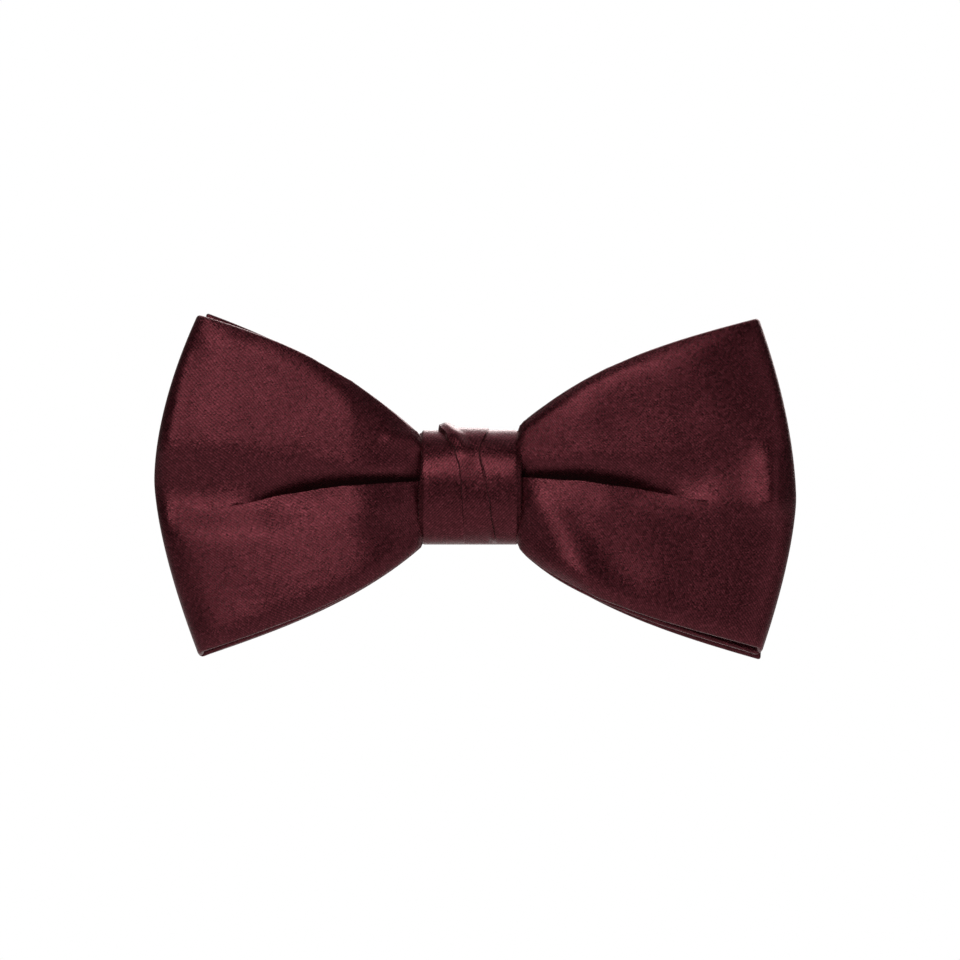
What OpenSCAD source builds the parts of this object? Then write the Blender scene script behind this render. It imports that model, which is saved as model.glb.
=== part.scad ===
// Clip-on bow tie: a pinched loop of doubled satin and a flat tail behind it, held by a pleated
// knot band, with a double-ended sprung clip for the shirt collar.
// +Z is up as worn, the bow faces -Y and the wearer's collar is on the +Y side.
// The origin is the middle of the knot's flat back, where it lies on the collar.

/* [Bow] */
// Reach of the left wing from the middle of the knot
left_reach = 59.2; // [48:0.1:72]
// Reach of the right wing from the middle of the knot
right_reach = 60.8; // [48:0.1:72]
// Height of the loop across its corners
bow_height = 62.4; // [50:0.2:76]
// Height of the wings where they leave the knot
waist_height = 22.8; // [18:0.2:28]
// How far the corners lie inside the middle of the fold
corner_inset = 7; // [3:0.1:10]
// Depth of the front panel in front of the fold
front_swell = 9; // [6:0.1:14]
// Share of the wing's reach at which its panels stand furthest apart
swell_place = 0.45; // [0.3:0.05:0.6]

/* [Tail] */
// How far the tail's left end stays inside the loop's fold
tail_left_setback = 9.6; // [3:0.1:14]
// How far the tail's right end stays inside the loop's fold
tail_right_setback = 6.8; // [3:0.1:14]
// How far the tail shows past the loop above and below
tail_margin = 0.7; // [0.2:0.1:2]
// How far the tail's ends lean back towards the wearer
tail_lean = 1.6; // [0:0.1:3]

/* [Cloth] */
// Thickness of one layer of satin
satin_t = 0.3; // [0.2:0.05:0.5]
// Thickness of the stiffener inside each strip
stiffener_t = 0.6; // [0.3:0.05:1]
// Thickness of the pleated stack of one loop panel inside the knot
loop_pleat_t = 3.4; // [2.4:0.1:4.5]
// Thickness of the pleated stack of the tail inside the knot
tail_pleat_t = 2.1; // [1.6:0.1:3]
// Width of the satin turned in along each edge, which the stiffener stops short of
edge_turn = 1; // [0.5:0.1:2]

/* [Knot] */
// Width of the knot band
knot_w = 18.4; // [14:0.1:24]
// Height of the knot at its lowest pleat
knot_height = 21.4; // [18:0.1:27]
// Thickness of the folded knot band
band_t = 0.9; // [0.6:0.05:1.2]
// Places across the knot where the middle pleat begins and ends
pleat_from = -1.1; // [-3:0.1:0]
pleat_to = 5; // [3:0.1:7]
// How far the middle pleat stands over the left one
pleat_step = 0.5; // [0.2:0.05:0.8]
// Radius of the knot's corners, seen from the side
knot_corner_r = 3.4; // [2.5:0.1:4.5]
// Thickness of the padding under the knot band
pad_t = 0.8; // [0.5:0.05:1.2]
// Thickness of the band's end, which laps over the back of the knot
flap_t = 0.6; // [0.4:0.05:0.9]
// Width of that lapped end
flap_w = 14; // [10:0.1:16]
// Height at which the lapped end is sewn down
flap_seam_z = -3.5; // [-5:0.1:-2]
// Height at which the lapped end comes over from the top
flap_top_z = 7; // [5:0.1:8]

/* [Thread] */
// Diameter of the sewing thread
thread_d = 0.5; // [0.3:0.05:0.6]
// Diameter of the finer thread of the slip stitches
fine_thread_d = 0.3; // [0.2:0.05:0.4]
// Turns of thread round the pinched waist
gather_turns = 3; // [2:1:5]

/* [Clip] */
// Thickness of the clip's steel plate
plate_t = 0.7; // [0.5:0.05:1]
// Width of the plate
plate_w = 9; // [8:0.1:11]
// Reach of each jaw from its hinge
jaw_reach = 10.8; // [9:0.1:13]
// How far the plate runs on past the teeth
plate_lip = 0.7; // [0.4:0.1:1.5]
// Height of the hinge over the plate
hinge_rise = 1.75; // [1.65:0.05:2.2]
// Diameter of the hinge pin
pin_d = 1.5; // [1.2:0.05:1.8]
// Diameter of the pin's peened heads
pin_head_d = 2.4; // [2.1:0.05:3]
// Thickness of the peened heads
pin_head_t = 0.4; // [0.2:0.05:0.6]
// Thickness of the lever's steel
lever_t = 0.6; // [0.4:0.05:0.8]
// Reach of the press tab from the hinge towards the knot
tab_reach = 5.2; // [4.6:0.1:5.4]
// Height of the press tab's end over the hinge
tab_rise = 4; // [3.6:0.1:4.6]
// Slope of the press tab's root, in degrees
tab_slope = 18; // [14:1:22]
// Number of teeth on each jaw
jaw_teeth = 5; // [3:1:7]
// Depth of the teeth
tooth_depth = 0.9; // [0.5:0.05:1.2]
// Diameter of the spring wire
wire_d = 0.45; // [0.3:0.05:0.5]
// Turns of the spring
spring_turns = 5; // [3:1:6]
// Diameter of the sewing holes in the plate
sew_hole_d = 1.2; // [0.9:0.05:1.5]

/* [Fits] */
// Gap between layers of cloth that lie on each other
cloth_gap = 0.1; // [0.05:0.01:0.2]
// Gap between the steel plate and the tail's back
plate_gap = 0.1; // [0.05:0.01:0.2]
// Radial clearance of the pin in the ears
ear_clearance = 0.02; // [0.01:0.01:0.05]
// Radial clearance of the pin in the lever
lever_clearance = 0.05; // [0.02:0.01:0.1]
// Radial clearance of the pin in the spring
coil_clearance = 0.2; // [0.1:0.01:0.25]
// Clearance at each side of the lever between the ears
lever_side_gap = 0.2; // [0.1:0.05:0.3]
// Gap between each press tab and the side of the knot
tab_gap = 1.1; // [0.8:0.1:2]
// Gap between the closed teeth and the plate
bite_gap = 0.05; // [0.03:0.01:0.1]
// Clearance of thread and metal inside the knot
snug_gap = 0.05; // [0.03:0.01:0.1]

/* [Hidden] */
$fn = 48;
edge_steps = 10;   // segments of each curved edge of a wing
fold_steps = 8;    // segments of each quarter of the fold

// Materials, as seen
burgundy = [0.31, 0.08, 0.14];
dark_burgundy = [0.22, 0.06, 0.10];
canvas_white = [0.86, 0.84, 0.80];
thread_red = [0.36, 0.10, 0.16];
nickel = [0.74, 0.74, 0.73];
spring_steel = [0.62, 0.63, 0.64];

strip_t = 2 * satin_t + stiffener_t;
knot_half = knot_w / 2;
wing_start = knot_half + snug_gap;
tail_left_reach = left_reach - tail_left_setback;
tail_right_reach = right_reach - tail_right_setback;
tail_height = bow_height + 2 * tail_margin;

// The stack inside the knot, from the flat back at y = 0 to the front
band_back_y = -flap_t;
band_inner_y = band_back_y - band_t;
tack_y = band_inner_y - snug_gap - thread_d / 2;
plate_face_y = tack_y - thread_d / 2 - snug_gap;
plate_front_y = plate_face_y - plate_t;
gather_back_y = plate_front_y - snug_gap;
tail_back_y = gather_back_y - thread_d - snug_gap;
tail_front_y = tail_back_y - tail_pleat_t;
loop_back_y = tail_front_y - cloth_gap;
fold_y = loop_back_y - loop_pleat_t - cloth_gap / 2;
tail_rest_y = plate_front_y - plate_gap;
rear_swell = tail_rest_y - strip_t - cloth_gap - fold_y;
loop_front_y = fold_y - cloth_gap / 2 - loop_pleat_t;
gather_front_y = loop_front_y - snug_gap - thread_d;
pad_inner_y = gather_front_y - snug_gap;
pad_front_y = pad_inner_y - pad_t;
band_front_inner_y = pad_front_y - snug_gap;
band_front_y = band_front_inner_y - band_t;

// The same stack, upwards from the middle of the knot
band_inner_z = knot_height / 2 - band_t;
pad_outer_z = band_inner_z - snug_gap;
pad_inner_z = pad_outer_z - pad_t;
gather_outer_z = pad_inner_z - snug_gap;
neck_half = gather_outer_z - thread_d - snug_gap;

// The clip
hinge_x = knot_half + tab_gap + tab_reach;
plate_l = 2 * (hinge_x + jaw_reach + plate_lip);
plate_corner_r = 1.5;
ear_w = 5;
ear_r = ear_w / 2;
ear_hole_r = pin_d / 2 + ear_clearance;
lever_hole_r = pin_d / 2 + lever_clearance;
hinge_y = plate_face_y + hinge_rise;
lever_w = plate_w - 2 * plate_t - 2 * lever_side_gap;
flange_r = hinge_rise - 0.3;
coil_r = pin_d / 2 + coil_clearance + wire_d / 2;
coil_pitch = wire_d + snug_gap;
arch_lead = 0.2;
tab_line_r = coil_r + wire_d / 2 + snug_gap + lever_t / 2;
lever_back = (tab_line_r + arch_lead * sin(tab_slope)) / cos(tab_slope);
jaw_shoulder_y = 0.5;
tooth_tip_y = plate_face_y + bite_gap - hinge_y;
sew_x = knot_half - 1.9;
sew_z = 2.6;

function mix(a, b, t) = a + (b - a) * t;
function smooth(t) = t * t * (3 - 2 * t);
function reversed(list) = [for (i = [len(list) - 1:-1:0]) list[i]];
function flip_x(list) = [for (p = list) [-p[0], p[1]]];
function flip_y(list) = [for (p = list) [p[0], -p[1]]];
function bezier(a, b, c, t) = (1 - t) * (1 - t) * a + 2 * t * (1 - t) * b + t * t * c;

// One wing seen from the front, from the neck over the top edge and round the fold. inset draws
// every edge that far inside.
function wing_edge(reach, height, corner, inset) =
    let (
        start = [wing_start, waist_height / 2 - inset],
        corner_at = [reach - corner - inset, height / 2 - inset],
        bend = [mix(start[0], corner_at[0], 0.33), mix(start[1], corner_at[1], 0.67)]
    )
    [for (i = [0:edge_steps]) bezier(start, bend, corner_at, i / edge_steps)];

function wing_fold(reach, height, corner, inset) =
    let (
        half = height / 2 - inset,
        fold_r = (corner * corner + half * half) / (2 * corner),
        sweep = asin(half / fold_r)
    )
    [for (i = [1:2 * fold_steps - 1])
        let (a = mix(sweep, -sweep, i / (2 * fold_steps)))
        [reach - inset - fold_r + fold_r * cos(a), fold_r * sin(a)]];

function wing_outline(reach, height, corner, inset) =
    let (edge = wing_edge(reach, height, corner, inset))
    concat(
        [[wing_start, neck_half - inset]], edge,
        wing_fold(reach, height, corner, inset),
        flip_y(reversed(edge)), [[wing_start, inset - neck_half]]
    );

// Both wings and the neck between them as one outline
function bow_outline(left, right, height, corner, inset) =
    concat(
        wing_outline(right, height, corner, inset),
        reversed(flip_x(wing_outline(left, height, corner, inset)))
    );

// Half of one loop seen from above, from the neck out to the fold. depth is how far inside the
// strip the line runs, so 0 is its outer face and strip_t its inner one.
function loop_side(reach, swell, depth) =
    let (
        span = reach - depth - wing_start,
        neck = mix(loop_pleat_t + cloth_gap / 2, cloth_gap / 2, depth / strip_t),
        full = swell - depth
    )
    concat(
        [for (i = [0:edge_steps])
            [wing_start + span * swell_place * i / edge_steps,
             mix(neck, full, smooth(i / edge_steps))]],
        [for (i = [1:fold_steps - 1])
            let (a = 90 * i / fold_steps)
            [wing_start + span * mix(swell_place, 1, sin(a)), full * cos(a)]],
        [[reach - depth, 0]]
    );

function loop_path(depth) =
    concat(
        flip_y(loop_side(right_reach, front_swell, depth)),
        [for (i = [1:len(loop_side(right_reach, rear_swell, depth)) - 1])
            reversed(loop_side(right_reach, rear_swell, depth))[i]],
        flip_x(loop_side(left_reach, rear_swell, depth)),
        [for (i = [1:len(loop_side(left_reach, front_swell, depth)) - 1])
            reversed(flip_x(flip_y(loop_side(left_reach, front_swell, depth))))[i]]
    );

// The tail's back face seen from above, flat along the plate and leaning back beyond its end
function lean_at(x, reach) =
    let (t = max(0, (x - plate_l / 2) / (reach - plate_l / 2)))
    tail_lean * t * t;
function tail_line(reach, inset) =
    [for (i = [0:edge_steps])
        let (x = mix(wing_start, reach - inset, i / edge_steps))
        [x, tail_rest_y + lean_at(x, reach)]];

function tail_half(reach, inset) =
    concat(
        [[wing_start, tail_back_y - inset]],
        [for (p = tail_line(reach, inset)) [p[0], p[1] - inset]],
        [for (p = reversed(tail_line(reach, inset))) [p[0], p[1] - strip_t + inset]],
        [[wing_start, tail_front_y + inset]]
    );
function tail_path(inset) =
    concat(
        tail_half(tail_right_reach, inset),
        reversed(flip_x(tail_half(tail_left_reach, inset)))
    );

// Prisms along Y, Z and X from outlines in the front, top and side view
module front_prism(points) {
    depth = 60;
    translate([0, depth / 2, 0]) rotate([90, 0, 0]) linear_extrude(depth) polygon(points);
}
module plan_prism() {
    height = 2 * max(bow_height, tail_height);
    translate([0, 0, -height / 2]) linear_extrude(height) children();
}
module side_prism(from_x, to_x) {
    translate([from_x, 0, 0]) rotate([90, 0, 90]) linear_extrude(to_x - from_x) children();
}

// A rounded rectangle in the side view, from its lowest to its highest y, and its half height
module side_round(y0, y1, half, r) {
    translate([y0 + r, -half]) square([y1 - y0 - 2 * r, 2 * half]);
    translate([y0, -half + r]) square([y1 - y0, 2 * half - 2 * r]);
    for (y = [y0 + r, y1 - r], z = [-half + r, half - r]) translate([y, z]) circle(r);
}

// ---- The front loop ----

module loop_solid(from_depth, to_depth, inset) {
    intersection() {
        front_prism(bow_outline(left_reach, right_reach, bow_height, corner_inset, inset));
        translate([0, fold_y, 0]) plan_prism() difference() {
            polygon(loop_path(from_depth));
            polygon(loop_path(to_depth));
        }
    }
}

// The strip's two ends meet behind the waist with this gap
join_gap = 0.4;
module loop_end_gap(grow) {
    translate([-join_gap / 2 - grow, fold_y, -bow_height / 2])
        cube([join_gap + 2 * grow, loop_pleat_t + 1, bow_height]);
}
module loop_satin() {
    color(burgundy) difference() {
        loop_solid(0, strip_t, 0);
        loop_solid(satin_t, strip_t - satin_t, edge_turn);
        loop_end_gap(0);
    }
}
module loop_stiffener() {
    color(canvas_white) difference() {
        loop_solid(satin_t, strip_t - satin_t, edge_turn);
        loop_end_gap(0);
    }
}

// Short bars of thread across the join, sunk into the cloth
join_stitches = 5;
module loop_join_stitches() {
    stitch_l = join_gap + 2.4;
    color(thread_red) for (i = [0:join_stitches - 1])
        translate([-stitch_l / 2, loop_back_y - fine_thread_d / 2,
                   mix(-neck_half, neck_half, (i + 0.5) / join_stitches)])
            rotate([0, 90, 0]) cylinder(h = stitch_l, d = fine_thread_d);
}

// ---- The tail behind the loop ----

tail_corner = 0.5;
module tail_solid(inset, edge_inset) {
    intersection() {
        front_prism(bow_outline(
            tail_left_reach, tail_right_reach, tail_height, tail_corner, edge_inset));
        plan_prism() polygon(tail_path(inset));
    }
}
module turning_gap() {
    translate([-turning_gap_l / 2, tail_back_y - satin_t - snug_gap, -turning_gap_h / 2])
        cube([turning_gap_l, 2 * satin_t, turning_gap_h]);
}
// The tail is turned right side out through a gap in the back of its neck
turning_gap_l = 6;
turning_gap_h = 2;
module tail_satin() {
    color(dark_burgundy) difference() {
        tail_solid(0, 0);
        tail_solid(satin_t, edge_turn);
        turning_gap();
    }
}
module tail_stiffener() {
    color(canvas_white) difference() {
        tail_solid(satin_t, edge_turn);
        turning_gap();
    }
}

// Slip stitches that close one end of the tail
end_stitches = 9;
module tail_stitches(reach) {
    stitch_l = 1.4;
    end_y = tail_rest_y + tail_lean - strip_t / 2;
    color(thread_red) for (i = [0:end_stitches - 1])
        translate([reach - tail_corner, end_y,
                   (i - (end_stitches - 1) / 2) * tail_height / (end_stitches + 2) - stitch_l / 2])
            cylinder(h = stitch_l, d = fine_thread_d);
}
module tail_stitches_left() { mirror([1, 0, 0]) tail_stitches(tail_left_reach); }
module tail_stitches_right() { tail_stitches(tail_right_reach); }

// ---- The knot ----

neck_r = 0.1;
gather_pitch = 1.4;
module gather_thread() {
    color(thread_red) for (i = [0:gather_turns - 1])
        translate([(i - (gather_turns - 1) / 2) * gather_pitch, 0, 0])
            side_prism(-thread_d / 2, thread_d / 2) difference() {
                side_round(gather_front_y, gather_back_y, gather_outer_z, neck_r + thread_d);
                side_round(gather_front_y + thread_d, gather_back_y - thread_d,
                           gather_outer_z - thread_d, neck_r);
            }
}

module knot_ring(from_x, to_x, step) {
    side_prism(from_x, to_x) difference() {
        side_round(band_front_y - step, band_back_y, knot_height / 2 + step, knot_corner_r);
        side_round(band_front_inner_y, band_inner_y, band_inner_z, knot_corner_r - band_t);
    }
}
module knot_band() {
    color(burgundy) {
        knot_ring(-knot_half, pleat_from, 0);
        knot_ring(pleat_from, pleat_to, pleat_step);
        knot_ring(pleat_to, knot_half, pleat_step / 2);
        translate([-flap_w / 2, band_back_y, flap_seam_z])
            cube([flap_w, flap_t, flap_top_z - flap_seam_z]);
    }
}

// The padding is open at the back, where the clip's plate lies
pad_w = knot_w - 2;
module knot_padding() {
    color(canvas_white) difference() {
        side_prism(-pad_w / 2, pad_w / 2) difference() {
            side_round(pad_front_y, band_inner_y - snug_gap, pad_outer_z,
                       knot_corner_r - band_t - snug_gap);
            side_round(pad_inner_y, band_inner_y, pad_inner_z, neck_r + thread_d);
        }
        translate([-knot_w / 2, tail_front_y, -knot_height / 2])
            cube([knot_w, -tail_front_y, knot_height]);
    }
}

slip_stitches = 7;
module knot_slip_stitches() {
    stitch_l = 1;
    color(thread_red) for (i = [0:slip_stitches - 1])
        translate([(i - (slip_stitches - 1) / 2) * flap_w / (slip_stitches + 0.5) - stitch_l / 2,
                   band_back_y + fine_thread_d / 4, flap_seam_z])
            rotate([0, 90, 0]) cylinder(h = stitch_l, d = fine_thread_d);
}

// ---- The clip ----

module plate_outline() {
    half_l = plate_l / 2;
    half_w = plate_w / 2;
    square([plate_l, plate_w - 2 * plate_corner_r], center = true);
    square([plate_l - 2 * plate_corner_r, plate_w], center = true);
    for (x = [-1, 1], z = [-1, 1])
        translate([x * (half_l - plate_corner_r), z * (half_w - plate_corner_r)])
            circle(plate_corner_r);
}
// One ear, bent up from the plate's edge to carry the pin
module ear_outline() {
    square([ear_w, hinge_rise + plate_t]);
    translate([ear_r, hinge_rise + plate_t]) circle(ear_r);
}
module clip_plate() {
    color(nickel) difference() {
        union() {
            translate([0, plate_face_y, 0]) rotate([90, 0, 0])
                linear_extrude(plate_t) plate_outline();
            for (side = [-1, 1], z = [-plate_w / 2, plate_w / 2 - plate_t])
                translate([side * hinge_x - ear_r, plate_front_y, z])
                    linear_extrude(plate_t) ear_outline();
        }
        for (side = [-1, 1])
            translate([side * hinge_x, hinge_y, -plate_w]) cylinder(h = 2 * plate_w, r = ear_hole_r);
        for (x = [-sew_x, sew_x], z = [-sew_z, sew_z])
            translate([x, plate_face_y + 1, z]) rotate([90, 0, 0])
                cylinder(h = plate_t + 2, d = sew_hole_d);
    }
}

// Two bars of thread, each down through a pair of holes and into the tail
tack_depth = 0.4;
module clip_tack_thread() {
    color(thread_red) for (x = [-sew_x, sew_x]) {
        translate([x, tack_y, -sew_z]) cylinder(h = 2 * sew_z, d = thread_d);
        for (z = [-sew_z, sew_z]) {
            translate([x, tack_y, z]) sphere(d = thread_d);
            translate([x, tack_y, z]) rotate([90, 0, 0])
                cylinder(h = tack_y - tail_back_y + tack_depth, d = thread_d);
        }
    }
}

// A bent sheet's outline from its middle line
function direction(a, b) = (b - a) / norm(b - a);
function line_normal(points, i) =
    let (
        before = direction(points[max(i - 1, 0)], points[max(i, 1)]),
        last = len(points) - 1,
        after = direction(points[min(i, last - 1)], points[min(i + 1, last)]),
        along = direction([0, 0], before + after)
    )
    [-along[1], along[0]];
function bent_sheet(points, t) =
    concat(
        [for (i = [0:len(points) - 1]) points[i] + line_normal(points, i) * t / 2],
        [for (i = [len(points) - 1:-1:0]) points[i] - line_normal(points, i) * t / 2]
    );

// The right lever about its hinge: press tab, arch over the spring, and arm to the jaw
tab_root_l = 2.8;
arch_start = [-arch_lead, lever_back];
tab_root = arch_start + tab_root_l * [-1, tan(tab_slope)];
arch_end = [1.6, lever_back];
arm_knee = [jaw_reach * 0.62, mix(lever_back, jaw_shoulder_y, 0.6)];
lever_line = [
    [-tab_reach, tab_rise], tab_root, arch_start, arch_end, arm_knee, [jaw_reach, jaw_shoulder_y]
];
module lever() {
    tooth_w = lever_w / jaw_teeth;
    difference() {
        union() {
            translate([0, 0, -lever_w / 2]) linear_extrude(lever_w)
                polygon(bent_sheet(lever_line, lever_t));
            translate([jaw_reach - lever_t, tooth_tip_y, -lever_w / 2])
                cube([lever_t, jaw_shoulder_y - tooth_tip_y, lever_w]);
            for (z = [-lever_w / 2, lever_w / 2 - lever_t])
                translate([0, 0, z]) linear_extrude(lever_t) {
                    circle(flange_r);
                    polygon([[-flange_r, 0], arch_start, arch_end, arm_knee, [flange_r, 0]]);
                }
        }
        translate([0, 0, -lever_w]) cylinder(h = 2 * lever_w, r = lever_hole_r);
        for (i = [0:jaw_teeth])
            translate([jaw_reach - 2 * lever_t, tooth_tip_y, (i - jaw_teeth / 2) * tooth_w])
                rotate([90, 0, 90]) linear_extrude(3 * lever_t)
                    polygon([[-tooth_depth, -tooth_w], [-tooth_depth, tooth_w],
                             [tooth_depth, 0]]);
    }
}
module clip_lever_right() { color(nickel) translate([hinge_x, hinge_y, 0]) lever(); }
module clip_lever_left() { mirror([1, 0, 0]) clip_lever_right(); }

module hinge_pin() {
    shank_l = plate_w + 2 * snug_gap;
    translate([hinge_x, hinge_y, -shank_l / 2]) cylinder(h = shank_l, d = pin_d);
    for (z = [-shank_l / 2 - pin_head_t, shank_l / 2])
        translate([hinge_x, hinge_y, z]) cylinder(h = pin_head_t, d = pin_head_d);
}
module hinge_pin_right() { color(spring_steel) hinge_pin(); }
module hinge_pin_left() { mirror([1, 0, 0]) hinge_pin_right(); }

// A tube swept along points that never run straight up, as a polyhedron
tube_sides = 8;
function tube_ring(points, i, r) =
    let (
        last = len(points) - 1,
        along = direction(points[max(i - 1, 0)], points[min(i + 1, last)]),
        side = direction([0, 0, 0], cross([0, 0, 1], along)),
        up = cross(along, side)
    )
    [for (k = [0:tube_sides - 1])
        points[i] + r * (cos(360 * k / tube_sides) * side + sin(360 * k / tube_sides) * up)];
module tube(points, d) {
    rings = len(points);
    vertices = [for (i = [0:rings - 1]) each tube_ring(points, i, d / 2)];
    walls = [for (i = [0:rings - 2], k = [0:tube_sides - 1])
        let (a = i * tube_sides + k, b = i * tube_sides + (k + 1) % tube_sides)
        each [[a, a + tube_sides, b], [b, a + tube_sides, b + tube_sides]]];
    caps = [
        [for (k = [0:tube_sides - 1]) k],
        [for (k = [tube_sides - 1:-1:0]) (rings - 1) * tube_sides + k]
    ];
    polyhedron(points = vertices, faces = concat(walls, caps));
}

// The spring: a leg on the plate, the coil round the pin, and a leg under the press tab. Each
// leg leaves the coil along a tangent.
coil_steps = 14;
leg_l = 3;
plate_leg = [-leg_l, wire_d / 2 + snug_gap - hinge_rise];
plate_leg_angle = 360 + atan2(plate_leg[1], plate_leg[0]) + acos(coil_r / norm(plate_leg));
tab_leg_angle = 90 - tab_slope;
tab_leg = coil_r * [sin(tab_slope), cos(tab_slope)] + leg_l * [-cos(tab_slope), sin(tab_slope)];
module torsion_spring() {
    sweep = 360 * spring_turns + tab_leg_angle - plate_leg_angle;
    steps = ceil(sweep / 360 * coil_steps);
    rise = coil_pitch * sweep / 360;
    coil = [for (i = [0:steps])
        let (a = plate_leg_angle + sweep * i / steps)
        [coil_r * cos(a), coil_r * sin(a), mix(-rise / 2, rise / 2, i / steps)]];
    translate([hinge_x, hinge_y, 0]) tube(concat(
        [[plate_leg[0], plate_leg[1], -rise / 2]], coil, [[tab_leg[0], tab_leg[1], rise / 2]]
    ), wire_d);
}
module torsion_spring_right() { color(spring_steel) torsion_spring(); }
module torsion_spring_left() { mirror([1, 0, 0]) torsion_spring_right(); }

loop_satin();
loop_stiffener();
loop_join_stitches();
tail_satin();
tail_stiffener();
tail_stitches_left();
tail_stitches_right();
gather_thread();
knot_band();
knot_padding();
knot_slip_stitches();
clip_plate();
clip_tack_thread();
clip_lever_left();
clip_lever_right();
hinge_pin_left();
hinge_pin_right();
torsion_spring_left();
torsion_spring_right();
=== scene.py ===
"""A clip-on bow tie of burgundy satin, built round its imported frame.

Lengths are in millimetres until a mesh is made. x grows to the right seen from the front, z grows
upwards and y grows towards the wearer. Inside a wing, x grows outwards from the knot.
"""

import math

import bmesh
import bpy
import numpy as np
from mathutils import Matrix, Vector, noise


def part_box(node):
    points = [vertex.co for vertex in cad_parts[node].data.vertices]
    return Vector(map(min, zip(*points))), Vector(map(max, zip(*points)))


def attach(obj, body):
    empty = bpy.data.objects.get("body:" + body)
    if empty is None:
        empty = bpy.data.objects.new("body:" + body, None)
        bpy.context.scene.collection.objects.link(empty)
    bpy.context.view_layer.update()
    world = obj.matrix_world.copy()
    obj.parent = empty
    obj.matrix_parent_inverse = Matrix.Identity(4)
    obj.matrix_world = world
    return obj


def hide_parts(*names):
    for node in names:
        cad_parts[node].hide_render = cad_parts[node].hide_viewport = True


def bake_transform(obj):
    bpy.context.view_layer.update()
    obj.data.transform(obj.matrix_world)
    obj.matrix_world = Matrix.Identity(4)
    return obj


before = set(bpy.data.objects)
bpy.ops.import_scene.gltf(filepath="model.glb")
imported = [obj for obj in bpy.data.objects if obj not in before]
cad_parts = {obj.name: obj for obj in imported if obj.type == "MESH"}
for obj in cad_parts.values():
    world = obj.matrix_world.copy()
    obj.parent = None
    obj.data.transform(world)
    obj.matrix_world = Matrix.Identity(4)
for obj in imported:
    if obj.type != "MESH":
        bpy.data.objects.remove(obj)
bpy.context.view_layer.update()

bl_info = {
    "name": "Satin Bow Tie",
    "version": (1, 0, 0),
    "blender": (4, 5, 0),
    "location": "View3D > Sidebar > Bow Tie",
    "description": "Builds a clip-on satin bow tie piece by piece",
    "category": "Object",
}

MM = 0.001
UV_NAME = "weave"


# ---- The frame, in millimetres ----

def node_box(node):
    """Lowest and highest corner of a CAD node."""
    low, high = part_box(node)
    return np.array(low) / MM, np.array(high) / MM


LOOP_LOW = node_box("loop_satin")[0]
BAND_LOW, BAND_HIGH = node_box("knot_band")


# ---- Curves ----

def mix(a, b, t):
    return a + (b - a) * t


def smooth(t):
    t = np.clip(t, 0, 1)
    return t * t * (3 - 2 * t)


def eased(x, stops):
    """The value at x of a line through the stops (place, value) that levels off at each stop."""
    places, values = np.array(stops, float).T
    i = np.clip(np.searchsorted(places, x) - 1, 0, len(places) - 2)
    t = (x - places[i]) / (places[i + 1] - places[i])
    return mix(values[i], values[i + 1], smooth(t))


def bezier(points, t):
    """Points on a cubic curve; t may be an array."""
    p = np.array(points, float)
    t = np.asarray(t)[..., None]
    s = 1 - t
    return s**3 * p[0] + 3 * s * s * t * p[1] + 3 * s * t * t * p[2] + t**3 * p[3]


def lengths(points, axis):
    """Running length along one axis of a grid of points, from 0."""
    steps = np.linalg.norm(np.diff(points, axis=axis), axis=-1)
    start = np.zeros_like(np.take(steps, [0], axis=axis))
    return np.concatenate([start, np.cumsum(steps, axis=axis)], axis=axis)


def unit(v):
    return v / np.maximum(np.linalg.norm(v, axis=-1, keepdims=True), 1e-9)


def undulation(points, scale, height, seed):
    """Gentle unevenness of hand-folded cloth, the same every time."""
    flat = points.reshape(-1, 3)
    offset = Vector((seed * 17.3, seed * 5.1, seed * 9.7))
    values = [noise.noise(Vector(p) / scale + offset) for p in flat]
    return height * np.array(values).reshape(points.shape[:-1])


# ---- Cloth meshes ----

RIM_STEPS = 5
END_STEPS = 4
THINNEST = 0.02


def sideways(step, through):
    """The step's direction at a cloth's edge, square to the direction through the cloth."""
    return unit(step - through * np.sum(step * through, axis=-1, keepdims=True))


def cloth_rings(face, outwards, thickness):
    """Closed rings round each row of a cloth: its outer face, one rim, its inner face, the other
    rim. thickness may vary from row to row."""
    half = np.asarray(thickness, float).reshape(-1, 1, 1) / 2
    inner = face - outwards * 2 * half
    turns = np.pi * np.arange(1, RIM_STEPS) / RIM_STEPS
    rims = []
    for column, before in ((-1, -2), (0, 1)):
        through = unit(face[:, column] - inner[:, column])
        side = sideways(face[:, column] - face[:, before], through)
        middle = (face[:, column] + inner[:, column]) / 2
        rims.append([middle + half[:, 0] * (np.cos(a) * through + np.sin(a) * side)
                     for a in turns])
    return np.concatenate([face, np.stack(rims[0], axis=1), inner[:, ::-1],
                           np.stack(rims[1][::-1], axis=1)], axis=1)


def rounded_ends(face, outwards, thickness):
    """Adds rows that close both ends of a cloth with a half-round edge."""
    ends = []
    for end, before in ((0, 1), (-1, -2)):
        through = outwards[end]
        side = sideways(face[end] - face[before], through)
        steps = []
        for k in range(1, END_STEPS + 1):
            a = math.pi / 2 * k / END_STEPS
            shrink = max(math.cos(a), THINNEST)
            row = face[end] + side * thickness / 2 * math.sin(a) \
                - through * thickness / 2 * (1 - shrink)
            steps.append((row, through, thickness * shrink))
        ends.append(steps)
    strip = [(row, out, thickness) for row, out in zip(face, outwards)]
    return [np.array(part) for part in zip(*ends[0][::-1], *strip, *ends[1])]


def signed_volume(points, quads):
    a, b, c, d = (points[quads[:, k]] for k in range(4))
    return np.sum(np.cross(a, b) * c + np.cross(a, c) * d) / 6


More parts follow.
